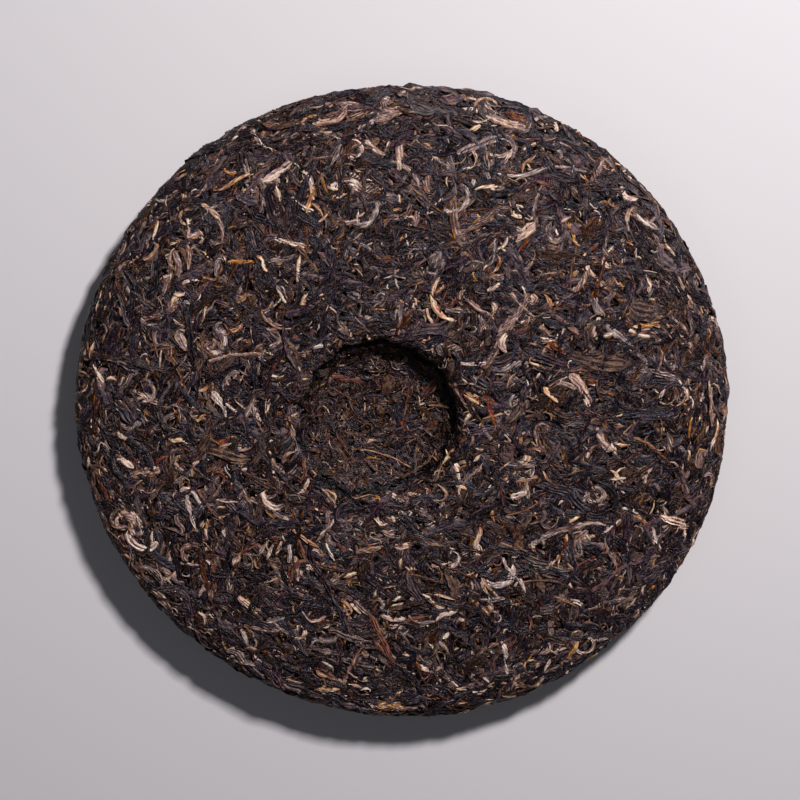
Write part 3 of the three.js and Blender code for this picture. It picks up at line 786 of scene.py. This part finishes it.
# Lengthwise folds at each corner of the sections, -1 in a groove and 1 on a ridge, winding round a twisted
# strip. Also gives how far the twist shifts them round at each section.
def ridges(strips, mm_along, corners):
    count, stations = mm_along.shape
    twisted = rng.uniform(0, 1, (count, 1)) < TWISTED
    twist = rng.normal(0, TWIST, (count, 1)) + rng.normal(0, MORE_TWIST, (count, 1)) * twisted
    slip = (twist * mm_along)[..., None]
    beat = np.pi * rng.uniform(*FOLD_BEAT, (count, 1, 1))
    phase = rng.uniform(0, ANY_PHASE, (count, 1, 1))
    turned = phase + slip * beat * (corners - 2) / strips["width"][:, None, None]
    ridge = np.cos(beat * np.arange(corners) + turned) + rng.normal(0, FOLD_NOISE, (count, stations, corners))
    return np.clip(ridge, -1, 1), slip


# The points of strips with the same number of stations and corners, their ends, their map, and what their
# material needs at each point. A section has even corners over the side that shows, and one below.
def strip_points(strips, kind, stations, corners):
    count, share = len(strips["kind"]), np.linspace(0, 1, stations)
    at = strips["first"][:, None] + (strips["last"] - strips["first"])[:, None] * share
    mm_along = at / STEPS * strips["length"][:, None]
    centre, along, side, up = strip_axis(strips, at, share)
    half_width = np.maximum(sample(strips["half_width"], at), LEAST_HALF_WIDTH)[..., None]
    half_height = np.maximum(sample(strips["half_height"], at), LEAST_HALF_HEIGHT)[..., None]
    across = np.append(np.linspace(1, -1, corners - 1), 0.0)
    on_top = np.append(np.ones(corners - 1), 0.0)
    ridge, slip = ridges(strips, mm_along, corners)
    edge_drop = rng.uniform(*EDGE_DROP, (count, 1, 1))
    crown = np.where(on_top > 0, 1 - edge_drop * np.abs(across) ** EDGE_ROUNDNESS, -1)
    folds = kind.pleat * rng.uniform(*PLEAT_SPREAD, (count, 1, 1)) * half_width * ridge * on_top
    rise = half_height * crown + folds
    ragged = 1 + rng.normal(0, UNEVEN_EDGE, (count, stations, corners))
    xyz = centre[:, :, None] + side[:, :, None] * (half_width * across * ragged)[..., None]
    xyz = xyz + up[:, :, None] * rise[..., None]
    tips = along[:, [0, -1]] * half_width[:, [0, -1]] * np.array([-END_REACH, END_REACH])[:, None]
    ends = centre[:, [0, -1]] + tips
    drift = rng.normal(0, SHADE_DRIFT, (count, 1)) * (at / STEPS - 0.5)
    depth = sample(strips["level"] - strips["lift"], at)[..., None]
    values = dict(
        shade=(strips["shade"][:, None] + drift)[..., None] + 0 * rise,
        tone=strips["tone"][:, None, None] + 0 * rise,
        # Folds set low at the edges, where the material paints shade and no highlight
        fold=(ridge * 0.5 + 0.5) * np.where(np.abs(across) > AT_EDGE, EDGE_SHADE_FOLD, 1),
        edge=np.abs(across) + 0 * rise,
        # How deep each point lies below the press; the material paints shade from it
        buried=(depth - rise) / BURIED_DEPTH,
    )
    u = np.cumsum(np.linalg.norm(np.diff(xyz, axis=2, prepend=xyz[:, :, :1]), axis=-1), 2)
    u = u + slip + rng.uniform(0, MAP_SPREAD, (count, 1, 1))
    v = mm_along[..., None] + 0 * u + rng.uniform(0, MAP_SPREAD, (count, 1, 1))
    return xyz, ends, np.stack([u, v], -1), values


# Faces of closed skins with the same facets: quads along them and triangles round both ends, facing out.
def skin_faces(count, stations, corners):
    ring = np.arange(corners)
    next_ring = (ring + 1) % corners
    base = np.arange(stations - 1)[:, None] * corners
    quads = np.stack([base + ring, base + ring + corners, base + next_ring + corners, base + next_ring], -1)
    quads = quads.reshape(-1, 4)
    body = stations * corners
    last = (stations - 1) * corners
    first_fan = np.stack([ring, next_ring, np.full(corners, body)], -1)
    last_fan = np.stack([last + next_ring, last + ring, np.full(corners, body + 1)], -1)
    tris = np.concatenate([first_fan, last_fan])
    offsets = (np.arange(count) * (body + 2))[:, None, None]
    return (quads[None] + offsets).reshape(-1, 4), (tris[None] + offsets).reshape(-1, 3)


# The strips of a kind that show most, as many as its triangles allow, with the stations and corners of each.
# A wide strip has more corners, for its lengthwise folds.
def showing_strips(strips, kind):
    above = strips["side"] > 0
    least = np.where(above, LEAST_SHARE, LEAST_SHARE_UNDER)
    chosen = np.flatnonzero((strips["kind"] == KINDS.index(kind)) & (strips["share"] > least))
    length = (strips["last"] - strips["first"]) / STEPS * strips["length"]
    pitch = kind.pitch * np.where(above, 1, COARSER_UNDER)
    stations = np.clip(np.ceil(length / pitch).astype(int) + 1, FEWEST_STATIONS, STATIONS)
    corners = np.round(PLAIN_CORNERS + strips["width"] / FOLD_PITCH)
    corners = np.clip(corners, PLAIN_CORNERS + 1, MOST_CORNERS).astype(int)
    area = strips["share"] * strips["length"] * strips["width"] * strips["weight"]
    chosen = chosen[np.argsort(-area[chosen])]
    triangles = np.cumsum(2 * corners[chosen] * stations[chosen])
    return chosen[triangles < kind.triangles], stations, corners


# Values at the points of strips, and for the two points at their ends.
def with_ends(values):
    return np.concatenate([values, values[:, [0, -1]]], 1)


# One mesh for a kind of leaf.
def leaf_piece(strips, kind, material):
    kept, stations, corners = showing_strips(strips, kind)
    points, quads, tris, maps, values = [], [], [], [], {}
    offset = 0
    for stops, sides in np.unique(np.stack([stations[kept], corners[kept]], 1), axis=0):
        rows = kept[(stations[kept] == stops) & (corners[kept] == sides)]
        group = {key: value[rows] for key, value in strips.items() if key not in ("points", "sideways")}
        xyz, ends, uv, at_points = strip_points(group, kind, stops, sides)
        whole = np.concatenate([xyz.reshape(len(rows), -1, 3), ends], 1)
        four, three = skin_faces(len(rows), stops, sides)
        points.append(finished(whole.reshape(-1, 3)))
        quads.append(four + offset)
        tris.append(three + offset)
        maps.append(with_ends(uv.reshape(len(rows), -1, 2)).reshape(-1, 2))
        for key, numbers in at_points.items():
            values.setdefault(key, []).append(with_ends(numbers.reshape(len(rows), -1)).ravel())
        offset += whole.shape[0] * whole.shape[1]
    values = {key: np.concatenate(parts) for key, parts in values.items()}
    faces = [np.concatenate(quads), np.concatenate(tris)]
    return piece_of(kind.name, np.concatenate(points), faces, material, np.concatenate(maps), values)


# A mesh object from arrays, smooth but for its sharp folds, with a map and values at its points if given.
def piece_of(name, points, faces, material, uv=None, values=None):
    mesh = bpy.data.meshes.new(name)
    mesh.vertices.add(len(points))
    mesh.vertices.foreach_set("co", points.astype(np.float32).ravel())
    corners = np.concatenate([f.ravel() for f in faces])
    sizes = np.concatenate([np.full(len(f), f.shape[1]) for f in faces])
    mesh.loops.add(len(corners))
    mesh.loops.foreach_set("vertex_index", corners.astype(np.int32))
    mesh.polygons.add(len(sizes))
    starts = np.concatenate([[0], np.cumsum(sizes)[:-1]])
    mesh.polygons.foreach_set("loop_start", starts.astype(np.int32))
    mesh.polygons.foreach_set("use_smooth", np.ones(len(sizes), bool))
    if uv is not None:
        layer = mesh.uv_layers.new(name="leaf")
        layer.data.foreach_set("uv", uv[corners].astype(np.float32).ravel())
    for key, numbers in (values or {}).items():
        attribute = mesh.attributes.new(key, "FLOAT", "POINT")
        attribute.data.foreach_set("value", np.clip(numbers, 0, 1).astype(np.float32))
    mesh.update(calc_edges=True)
    mesh.validate()
    mesh.set_sharp_from_angle(angle=math.radians(SHARP_FOLD))
    mesh.materials.append(material)
    piece = bpy.data.objects.new(name, mesh)
    bpy.context.scene.collection.objects.link(piece)
    return piece


def linear(hex_colour):
    parts = [int(hex_colour[i : i + 2], 16) / 255 for i in (1, 3, 5)]
    return [p / 12.92 if p <= 0.04045 else ((p + 0.055) / 1.055) ** 2.4 for p in parts] + [1.0]


# Adds one shader node with its settings, input values and links, each from a socket or a node's first output.
def add(tree, kind, settings=None, values=None, links=None):
    node = tree.nodes.new("ShaderNode" + kind)
    for key, value in (settings or {}).items():
        setattr(node, key, value)
    for key, value in (values or {}).items():
        node.inputs[key].default_value = value
    for key, source in (links or {}).items():
        tree.links.new(source.outputs[0] if isinstance(source, bpy.types.Node) else source, node.inputs[key])
    return node


def set_stops(ramp, stops):
    elements = ramp.color_ramp.elements
    while len(elements) < len(stops):
        elements.new(0.5)
    for i, (position, colour) in enumerate(stops):
        elements[i].position = position
        elements[i].color = linear(colour)


def empty_tree(name):
    material = bpy.data.materials.new(name)
    material.use_nodes = True
    material.node_tree.nodes.clear()
    return material, material.node_tree


# A dried leaf: satin all over; the dark in its creases is painted shade
LEAF_GLOSS = {"Roughness": 0.3, "IOR": 1.45, "Specular IOR Level": 0.3}
WRINKLE = 0.25  # height of its wrinkles, millimetres
FIBRE = 0.33  # width of its fibres, millimetres
PATCHES_PER_MM = (0.9, 0.4, 1)
GRIT_PER_MM = 2.5
SHADE_WANDER = 1.4
# Strength of the dark fibre lines and of the painted shade in creases and at edges
CREASE_SHADE_STRENGTH = 0.85
DUST = "#b0805c"
# Near-black painted shade for the parts of a strip that lie deep below the press
PAINTED_DEPTH_SHADE = "#080505"
LIMITS = ("From Min", "From Max", "To Min", "To Max")
BLEND = {"data_type": "RGBA"}


# A dried leaf. Its shade and the depth of its colour differ from strip to strip, and its shade and hue wander
# along each. Pale streaks run along the crests of its wrinkles, partly fibres and partly a painted highlight on
# the ridges; dark fibre lines run along it, and painted shade darkens its creases and its edges. The edges are
# tinted, with specks of dust, and painted shade darkens it where it lies deep. The grain is the length of its
# wrinkles over their width: long fibres or a crumpled skin.
def leaf_material(name, shades, streak_and_highlight, line_and_crease_shade, rim, streak_and_highlight_strength, grain):
    material, tree = empty_tree(name)
    shade, fold, edge, buried, tone = [
        add(tree, "Attribute", {"attribute_name": key}).outputs["Fac"]
        for key in ("shade", "fold", "edge", "buried", "tone")
    ]
    uv = add(tree, "UVMap", {"uv_map": "leaf"})
    fine = add(tree, "Mapping", values={"Scale": (1 / FIBRE, 1 / FIBRE / grain, 1)}, links={"Vector": uv})
    fibres = add(tree, "TexNoise", values={"Detail": 3.0, "Roughness": 0.75, "Scale": 1.0},
                 links={"Vector": fine})
    broad = add(tree, "Mapping", values={"Scale": PATCHES_PER_MM}, links={"Vector": uv})
    patches = add(tree, "TexNoise", values={"Detail": 3.0, "Scale": 1.0}, links={"Vector": broad})
    grit = add(tree, "TexNoise", values={"Detail": 1.0, "Scale": GRIT_PER_MM}, links={"Vector": uv})
    ranges = {
        "pale_line": (fibres, 0.52, 0.6, 0, 1),
        # Pale streaks on the crests of the folds, partly a painted highlight
        "on_crest": (fold, 0.35, 1, 0.08, streak_and_highlight_strength),
        "dark_line": (fibres, 0.46, 0.39, 0, 1),
        # Painted shade in the grooves of the folds and at the strip's edges
        "in_groove": (fold, 0.48, 0, 0, 1),
        "at_edge": (edge, 0.6, 0.85, 0, 0.65),
        "in_stain": (patches, 0.52, 0.58, 0, 1),
        "depth": (tone, 0, 1, 0.7, 1.25),
        "hue": (patches, 0.35, 0.65, 0.475, 0.52),
        "speck": (grit, 0.69, 0.73, 0, 0.9),
        # Painted shade where the strip lies deep below the press
        "painted_deep_shade": (buried, 0.12, 0.6, 0, 0.95),
    }
    share = {
        key: add(tree, "MapRange", values=dict(zip(LIMITS, limits)), links={"Value": source})
        for key, (source, *limits) in ranges.items()
    }
    wander = add(tree, "Math", {"operation": "MULTIPLY_ADD"}, {1: SHADE_WANDER, 2: -SHADE_WANDER / 2},
                 {0: patches})
    place = add(tree, "Math", {"operation": "ADD", "use_clamp": True}, {}, {0: shade, 1: wander})
    colour = add(tree, "ValToRGB", links={"Fac": place})
    set_stops(colour, [((i / (len(shades) - 1)) ** 0.5, stop) for i, stop in enumerate(shades)])
    # Pale fibre streaks kept to the crests, partly a painted highlight on the ridges
    streak_and_highlight_share = add(tree, "Math", {"operation": "MULTIPLY"}, {}, {0: share["pale_line"], 1: share["on_crest"]})
    # Dark fibre lines together with painted shade in the grooves and at the edges
    lines_and_crease_shade = add(tree, "Math", {"operation": "MAXIMUM"}, {}, {0: share["dark_line"], 1: share["in_groove"]})
    line_and_shade_strength = add(tree, "Math", {"operation": "MULTIPLY"}, {1: CREASE_SHADE_STRENGTH}, {0: lines_and_crease_shade})
    stained = add(tree, "Math", {"operation": "MULTIPLY"}, {}, {0: share["at_edge"], 1: share["in_stain"]})
    # Streaks partly painted highlight, crease colour partly painted shade, tinted edges
    for tint, strength in ((streak_and_highlight, streak_and_highlight_share), (line_and_crease_shade, line_and_shade_strength), (rim, stained)):
        colour = add(tree, "Mix", BLEND, {7: linear(tint)}, {6: colour, 0: strength}).outputs[2]
    colour = add(tree, "HueSaturation",
                 links={"Color": colour, "Saturation": share["depth"], "Hue": share["hue"]})
    # Specks of dust, then painted shade where the strip lies deep
    for tint, strength in ((DUST, share["speck"]), (PAINTED_DEPTH_SHADE, share["painted_deep_shade"])):
        colour = add(tree, "Mix", BLEND, {7: linear(tint)}, {6: colour, 0: strength}).outputs[2]
    crumple = add(tree, "Bump", values={"Strength": 1.0, "Distance": 2 * WRINKLE / 1000},
                  links={"Height": patches})
    relief = add(tree, "Bump", values={"Strength": 1.0, "Distance": WRINKLE / 1000},
                 links={"Height": fibres, "Normal": crumple})
    shader = add(tree, "BsdfPrincipled", values=LEAF_GLOSS, links={"Base Color": colour, "Normal": relief})
    add(tree, "OutputMaterial", links={"Surface": shader})
    return material


# Looks of each kind of leaf: darkest to palest shade; streak, partly a painted highlight; crease, for dark
# lines and painted shade; edge; strength of the streaks and painted highlight, grain
LOOKS = {
    "ink_leaves": ("blue_black_dried_leaf", ("#09070c", "#100e17", "#1a1824", "#302a37", "#62524f"),
                   "#847276", "#050408", "#7e5a4c", 0.38, 3.5),
    "plum_leaves": ("aubergine_dried_leaf", ("#0f090e", "#19111a", "#2a1e29", "#44323b", "#725a56"),
                    "#96797a", "#080508", "#8e5c48", 0.42, 3.5),
    "umber_leaves": ("dark_brown_dried_leaf", ("#130b0c", "#211513", "#35241f", "#513a32", "#795e4c"),
                     "#a0806e", "#080404", "#9e6a4a", 0.44, 3.5),
    "russet_leaves": ("red_brown_oxidised_leaf", ("#271513", "#442720", "#683e32", "#8f5a44"),
                      "#c0937c", "#0f0706", "#c07a50", 0.6, 5.0),
    "tan_leaves": ("pale_striped_dried_leaf", ("#4c3a39", "#92766c", "#d0ae98", "#f8dac0"),
                   "#ffead2", "#160f0f", "#cc8048", 0.95, 7.0),
    "golden_buds": ("downy_golden_bud", ("#7d5538", "#c08e64", "#eac49c", "#fae2c2"),
                    "#fff0dc", "#331e14", "#cc8044", 0.9, 6.0),
    "stems": ("red_brown_dried_stem", ("#381f1a", "#5a382d", "#825746", "#a1755f"),
              "#bd9882", "#150b09", "#6e4030", 0.6, 10.0),
    "leaf_scraps": ("flat_brown_leaf_scrap", ("#1a100e", "#301e18", "#4e3226", "#6e4a36"),
                    "#84644c", "#0c0606", "#8a5a3c", 0.4, 2.0),
    "dark_threads": ("dark_leaf_thread", ("#120c10", "#21171a", "#3a2a2a", "#5b453e", "#80685a"),
                     "#94796b", "#080506", "#6a4434", 0.6, 5.0),
    "pale_threads": ("pale_leaf_thread", ("#6b4d40", "#a58068", "#d5b397", "#eed6bc"),
                     "#f8e6d2", "#2a1914", "#b87848", 0.9, 6.0),
    "dark_crumbs": ("dark_leaf_crumb", ("#140d0f", "#291b1b", "#48302a", "#6e5144"),
                    "#957a69", "#080506", "#7a4a34", 0.6, 2.5),
    "pale_crumbs": ("pale_leaf_crumb", ("#84523c", "#bb8156", "#deb58e", "#f2dabf"),
                    "#fcecd8", "#30180f", "#b8703a", 0.9, 3.0),
}


# The dark heart of the cake, a closed skin below the leaves with the relief of fine crumbs.
def core():
    along = np.linspace(CORE_END, FULL_LENGTH - CORE_END, CORE_RINGS)
    turn = np.arange(CORE_TURNS) * 2 * np.pi / CORE_TURNS
    r, z, r_slope, z_slope = [values[:, None] for values in section(along)]
    grit = CORE_GRIT * rng.uniform(-1, 1, (CORE_RINGS, CORE_TURNS))
    sink = core_depth(along[:, None], turn) + CORE_CLEARANCE + grit
    radius, height = r + z_slope * sink, z - r_slope * sink
    points = np.stack([radius * np.cos(turn), radius * np.sin(turn), height], -1).reshape(-1, 3)
    ends = np.array([[0, 0, back_height(0.0) - CORE_SINK], [0, 0, front_height(0.0) + CORE_SINK]])
    faces = skin_faces(1, CORE_RINGS, CORE_TURNS)
    return piece_of("pressed_core", finished(np.concatenate([points, ends])), faces, core_material())


# Patterns of the core: crumbs of about 1.1 mm and flakes of about 2.4 mm, sizes in metres
CRUMBS_PER_METRE, CRUMB_RELIEF = 900.0, 0.0005
FLAKES_PER_METRE, FLAKE_RELIEF = 420.0, 0.0006
FLAKE_WARP = (0.003, 0.003, 0.003)
FLAKES_FROM, FLAKES_FULL = 0.012, 0.006


# Fine dust and crumbs packed in the gaps, matt, near black on top, partly as painted shade in the gaps between
# the leaves; underneath, where it shows more, flakes of every shade.
def core_material():
    material, tree = empty_tree("packed_tea_dust_and_gap_shade")
    place = add(tree, "TexCoord").outputs["Object"]
    grit = add(tree, "TexNoise", values={"Detail": 4.0, "Scale": CRUMBS_PER_METRE}, links={"Vector": place})
    # Near-black dust on top, partly painted shade in the gaps between leaves
    dust_and_gap_shade = add(tree, "ValToRGB", links={"Fac": grit})
    set_stops(dust_and_gap_shade, ((0.4, "#050304"), (0.7, "#2c1f1c")))
    warped = add(tree, "VectorMath", {"operation": "MULTIPLY_ADD"}, {1: FLAKE_WARP},
                 {0: grit.outputs["Color"], 2: place})
    cells = add(tree, "TexVoronoi", values={"Scale": FLAKES_PER_METRE}, links={"Vector": warped})
    flakes = cells.outputs["Color"]
    shades = add(tree, "ValToRGB", links={"Fac": flakes})
    set_stops(shades, ((0.2, "#15110f"), (0.9, "#5c453c")))
    height = add(tree, "SeparateXYZ", links={"Vector": place}).outputs["Z"]
    below = add(tree, "MapRange", values=dict(zip(LIMITS, (FLAKES_FROM, FLAKES_FULL))), links={"Value": height})
    colour = add(tree, "Mix", BLEND, {}, {0: below, 6: dust_and_gap_shade, 7: shades}).outputs[2]
    step = add(tree, "Bump", values={"Strength": 1.0, "Distance": FLAKE_RELIEF}, links={"Height": flakes})
    relief = add(tree, "Bump", values={"Strength": 1.0, "Distance": CRUMB_RELIEF},
                 links={"Height": grit, "Normal": step})
    shader = add(tree, "BsdfPrincipled", values={"Roughness": 0.6},
                 links={"Base Color": colour, "Normal": relief})
    add(tree, "OutputMaterial", links={"Surface": shader})
    return material


# A plain matt pale floor.
def floor():
    half = FLOOR_SIZE / 2000
    material, tree = empty_tree("pale_studio_floor")
    shader = add(tree, "BsdfPrincipled", values={"Base Color": linear("#d8d5d0"), "Roughness": 0.9})
    add(tree, "OutputMaterial", links={"Surface": shader})
    points = np.array([[-half, -half, 0], [half, -half, 0], [half, half, 0], [-half, half, 0]])
    plane = piece_of("floor", points, [np.array([[0, 1, 2, 3]])], material)
    plane.location.z = -FLOOR_GAP / 1000


# A soft light panel that faces the middle of the cake: its turn from +X, its height above the horizon, both in
# degrees, its distance and size in metres, and its power in watts.
def panel(name, turn, height, distance, size, power, colour):
    light = bpy.data.lights.new(name, "AREA")
    light.shape = "RECTANGLE"
    light.size, light.size_y = size
    light.energy = power
    light.color = linear(colour)[:3]
    lamp = bpy.data.objects.new(name, light)
    bpy.context.scene.collection.objects.link(lamp)
    a, e = math.radians(turn), math.radians(height)
    lamp.location = Vector((math.cos(a) * math.cos(e), math.sin(a) * math.cos(e), math.sin(e))) * distance
    lamp.rotation_mode = "QUATERNION"
    lamp.rotation_quaternion = (-lamp.location).to_track_quat("-Z", "Y")


def lights():
    panel("key_panel", turn=60, height=45, distance=0.9, size=(0.1, 0.1), power=10.1, colour="#faf6ff")
    panel("fill_panel", turn=215, height=60, distance=1.1, size=(0.6, 0.6), power=0.6, colour="#e8eaff")
    world = bpy.data.worlds.new("studio")
    world.use_nodes = True
    background = world.node_tree.nodes["Background"]
    background.inputs["Color"].default_value = linear("#e8eaf8")
    background.inputs["Strength"].default_value = 0.05
    bpy.context.scene.world = world


def camera():
    lens = bpy.data.cameras.new("camera")
    lens.lens, lens.sensor_width = LENS, SENSOR
    lens.clip_start, lens.clip_end = 0.01, 20
    view = bpy.data.objects.new("camera", lens)
    bpy.context.scene.collection.objects.link(view)
    distance = LENS / SENSOR * VIEW_WIDTH / 1000
    tilt = math.radians(CAMERA_TILT)
    view.location = Vector(VIEW_MIDDLE) / 1000 + Vector((0, math.sin(tilt), math.cos(tilt))) * distance
    view.rotation_euler = (-tilt, 0, 0)
    bpy.context.scene.camera = view


camera()
bpy.context.scene.view_settings.view_transform = "Standard"
strips = all_strips()
lay(strips)
heart = core()
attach(heart, "root")
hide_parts("tea_cake")
for kind in KINDS:
    leaves = leaf_piece(strips, kind, leaf_material(*LOOKS[kind.name]))
    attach(leaves, "root")
floor()
lights()
